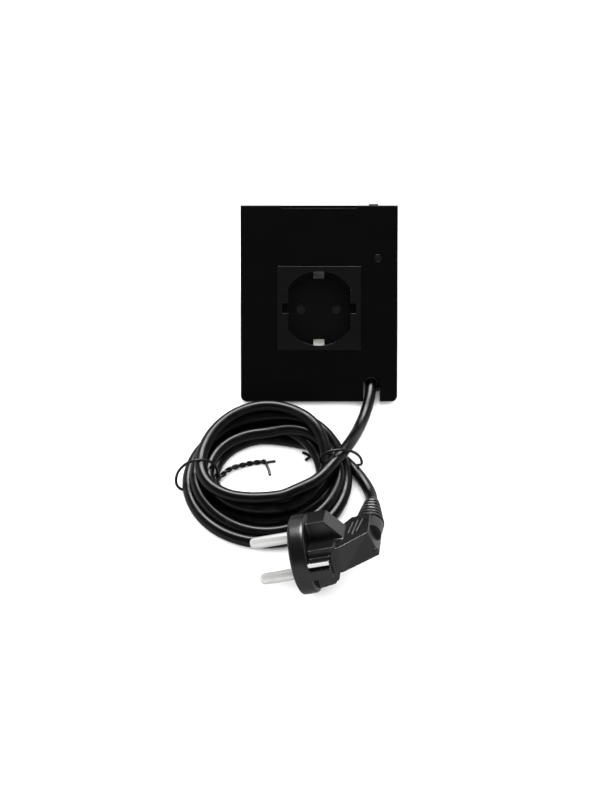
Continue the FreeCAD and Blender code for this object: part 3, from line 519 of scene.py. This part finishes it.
cutter = bmesh.new()
for side in (-1, 1):
    middle_x, outside = side * (HALF_WIDTH - CORNER), side * (HALF_WIDTH + SPARE)
    arc = [(middle_x + side * CORNER * cos(radians(a)), CORNER - CORNER * sin(radians(a)))
           for a in range(0, 91, 10)]
    prism(cutter, [(outside, CORNER)] + arc + [(middle_x, -SPARE), (outside, -SPARE)],
          "z", CUT_BACK, CUT_FRONT)
tool = keep(cutter, "corner_tool", "housing", FACE)
shell = bmesh.new()
shell.from_mesh(frame["nodes"]["housing"].data)
shell.transform(Matrix.Scale(1 / MM, 4))
bmesh.ops.remove_doubles(shell, verts=shell.verts, dist=1e-3)
rough = keep(shell, "housing_rough", "housing")
trim = rough.modifiers.new("trim", "BOOLEAN")
trim.operation, trim.solver, trim.object = "DIFFERENCE", "EXACT", tool
housing = keep(worked(rough, tool), "housing_shell", "housing", scale=1, smooth=25)
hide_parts("housing")

# ---- the plug ----

PIN_SIDE = 9.5
ARM_END = -33

# The disc, then the block and lands that carry the earth strip, the arm and its shoulders.
bm = bmesh.new()
spun(bm, [(-8, 0), (-8, 17.2), (-7.6, 18.1), (-6.8, 18.5), (-1, 18.5), (-0.4, 18.2), (0, 17.6),
          (0, 0)], 96)
prism(bm, [(-7, 6.9), (-7, -6.9), (-20.1, -6.9), (-20.1, 7)], "z", -12.5, -4)
prism(bm, [(-1, -5.6), (-17.8, -5.6), (-17.8, -0.4), (-1, -0.4)], "z", -17.6, -12)
prism(bm, [(-1, 1.1), (-17.8, 1.1), (-17.8, 3.1), (-1, 3.1)], "z", -17.2, -12)
prism(bm, [(-1, -1), (-17.8, -1), (-17.8, 2), (-1, 2)], "z", -15.6, -12)
arm = prism(bm, [(-7, -12.5), (-21.8, -12.5), (-36.2, -1), (-36.3, 9), (-37, 18.2), (-26, 18),
                 (-21, 10), (-7, 8)], "y", -6.2, 6.2)
for corner in arm:
    if corner.co.x < -35:
        corner.co.x = -35.2 if corner.co.y > 0 else -37.9
prism(bm, [(-7, 5), (-7, 16), (-16.4, 16), (-24, 6.2), (-24, 4)], "z", -3, 10)
prism(bm, [(-7, -5), (-7, -8), (-15, -8), (-15.5, -11.8), (-18.3, -11.5), (-20.5, -6),
           (-20.5, -5)], "z", -9.5, 8)
prism(bm, [(-15, -5), (-6, -5), (-6, -8.2), (-15, -8.2)], "z", -11, 8)
prism(bm, [(-7, -11), (-7, -16.2), (-15.6, -14.9), (-18.3, -11.5), (-15, -11)], "z", -6, 8)
plug_body = melted(bm, "plug_moulding", "plug_mould", PLUG, 0.36)
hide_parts("plug_body")


def pair(outline):
    """A round shape at each pin."""
    bm = bmesh.new()
    for side in (-1, 1):
        spun(bm, outline, 32, centre=(0, side * PIN_SIDE, 0))
    return bm


pins = keep(pair([(-0.5, 0), (-0.5, 2.7), (18.2, 2.7), (19.3, 2.4), (20, 1.7), (20.3, 0.8),
                  (20.3, 0)]), "plug_pins", "nickel", PLUG, smooth=50)
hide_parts("plug_live_pin", "plug_neutral_pin")
pin_bosses = keep(pair([(-0.1, 0), (-0.1, 4.2), (0.3, 4.1), (0.35, 0)]),
                  "plug_pin_bosses", "plug_mould", PLUG)

# Each earth strip lies along a side of the plug and hooks round the disc's front edge.
EARTH_SIDE = 17.3
EARTH_BEND = [(-17.4, 0), (-17.4, 0.35), (-1.2, 0.35), (-0.2, 0.1), (0.3, -2.4), (0, -2.4),
              (-0.9, 0)]
bm = bmesh.new()
for side in (-1, 1):
    prism(bm, [(x, side * (EARTH_SIDE + out)) for x, out in EARTH_BEND], "y", 1.25, 3, 0.12)
earth = keep(bm, "plug_earth_strips", "nickel", PLUG)
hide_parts("plug_earth_clips")

# Three raised strokes on the arm, and the knob at its end.
bm = bmesh.new()
HALF_STROKE = 0.3
for (x, z), (x2, z2) in (((-27.2, 12.1), (-25.8, 1.0)), ((-29.4, 12.8), (-27.7, -0.9)),
                         ((-31.7, 13.8), (-29.6, 1.8))):
    prism(bm, [(x + HALF_STROKE, z), (x - HALF_STROKE, z), (x2 - HALF_STROKE, z2),
               (x2 + HALF_STROKE, z2)], "y", 6.0, 6.5, 0.1)
strokes = keep(bm, "plug_strokes", "mark", PLUG)
bm = bmesh.new()
spun(bm, [(-1.5, 0), (-1.5, 2.3), (0.5, 2.2), (1, 1.7), (1.2, 0)], 32,
     centre=(-36, -4.6, -0.6), axis=(-0.6, -0.3, -0.74), across=(0.78, 0, -0.63))
knob = keep(bm, "plug_knob", "plug_mould", PLUG)

# Ribbed boot: rings of a soft moulding that thin towards the cord.
RINGS, RING_START, RING_STEP = 6, 18, 3.9
bm = bmesh.new()
outline = [(9, 0), (9, 6.4), (14, 7), (17.6, 7.2)]
for k in range(RINGS):
    start, wide = RING_START + k * RING_STEP, 7.4 - k * 0.6
    outline += [(start, wide - 1.2), (start + 1.2, wide - 1.3), (start + 1.4, wide - 0.2),
                (start + 1.8, wide), (start + 3.2, wide - 0.3), (start + 3.6, wide - 0.7)]
outline += [(41.6, 3.8), (43, 3.7), (43.8, 3.5), (44.1, 3.1), (44.1, 0)]
spun(bm, outline, 64, centre=(ARM_END, 0, 0), axis=(0, 0, 1))
for point in bm.verts:
    point.co.y *= 0.84 + 0.16 * min(1, max(0, (point.co.z - RING_START) / 24))
boot = keep(bm, "plug_boot_ribbed", "plug_mould", PLUG, smooth=35)
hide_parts("plug_boot")

plug_pieces = [plug_body, pins, pin_bosses, earth, strokes, knob, boot]
plug_pieces + [tie_left, tie_right, "cord_relief"]

# ---- floor, lights and sky ----

FLOOR_HALF = 12
bm = bmesh.new()
bmesh.ops.create_grid(bm, x_segments=1, y_segments=1, size=FLOOR_HALF)
sheet = bpy.data.meshes.new("floor")
bm.to_mesh(sheet)
bm.free()
floor = bpy.data.objects.new("floor", sheet)
scene.collection.objects.link(floor)
paper = Finish("paper_white")
white = paper.mix(paper.noise(3), (0.9, 0.9, 0.9), (0.93, 0.93, 0.93))
sheet.materials.append(paper.surface(Base_Color=white, Roughness=0.9, Specular_IOR_Level=0.0))
floor.visible_glossy = False


def lamp(name, kind, power):
    light = bpy.data.lights.new(name, kind)
    light.energy = power
    holder = bpy.data.objects.new(name, light)
    scene.collection.objects.link(holder)
    return light, holder


# A wide tent of light from above, kept out of the gloss.
light, tent = lamp("tent", "SUN", 7)
light.angle = radians(130)
tent.visible_glossy = False

# A strip behind the product that shows only as highlights.
light, strip = lamp("strip_behind", "AREA", 30)
light.shape = "RECTANGLE"
light.size, light.size_y = 0.8, 0.42
strip.location = (0, 0.5, 0.85)
to_product = Vector((-0.01, -0.07, 0)) - strip.location
strip.rotation_euler = to_product.to_track_quat("-Z", "Y").to_euler()
strip.visible_camera = strip.visible_diffuse = False

# Sky: dim below, bright at the horizon and a little above, nearly dark overhead.
SKY = ((0.0, 0.35), (0.3, 0.8), (0.63, 1.0), (0.74, 0.05))
world = bpy.data.worlds.new("studio")
scene.world = world
sky = Nodes(world)
height = sky.add("SeparateXYZ", None, {"Vector": sky.add("TexCoord", out="Generated")}, "Z")
ramp = sky.add("ValToRGB", {"stops": [(where, (light,) * 3) for where, light in SKY]},
               {"Fac": height * 0.5 + 0.5})
sky.add("OutputWorld", None, {"Surface": sky.add("Background", None, {"Color": ramp})}, None)
scene.view_settings.view_transform = "Standard"
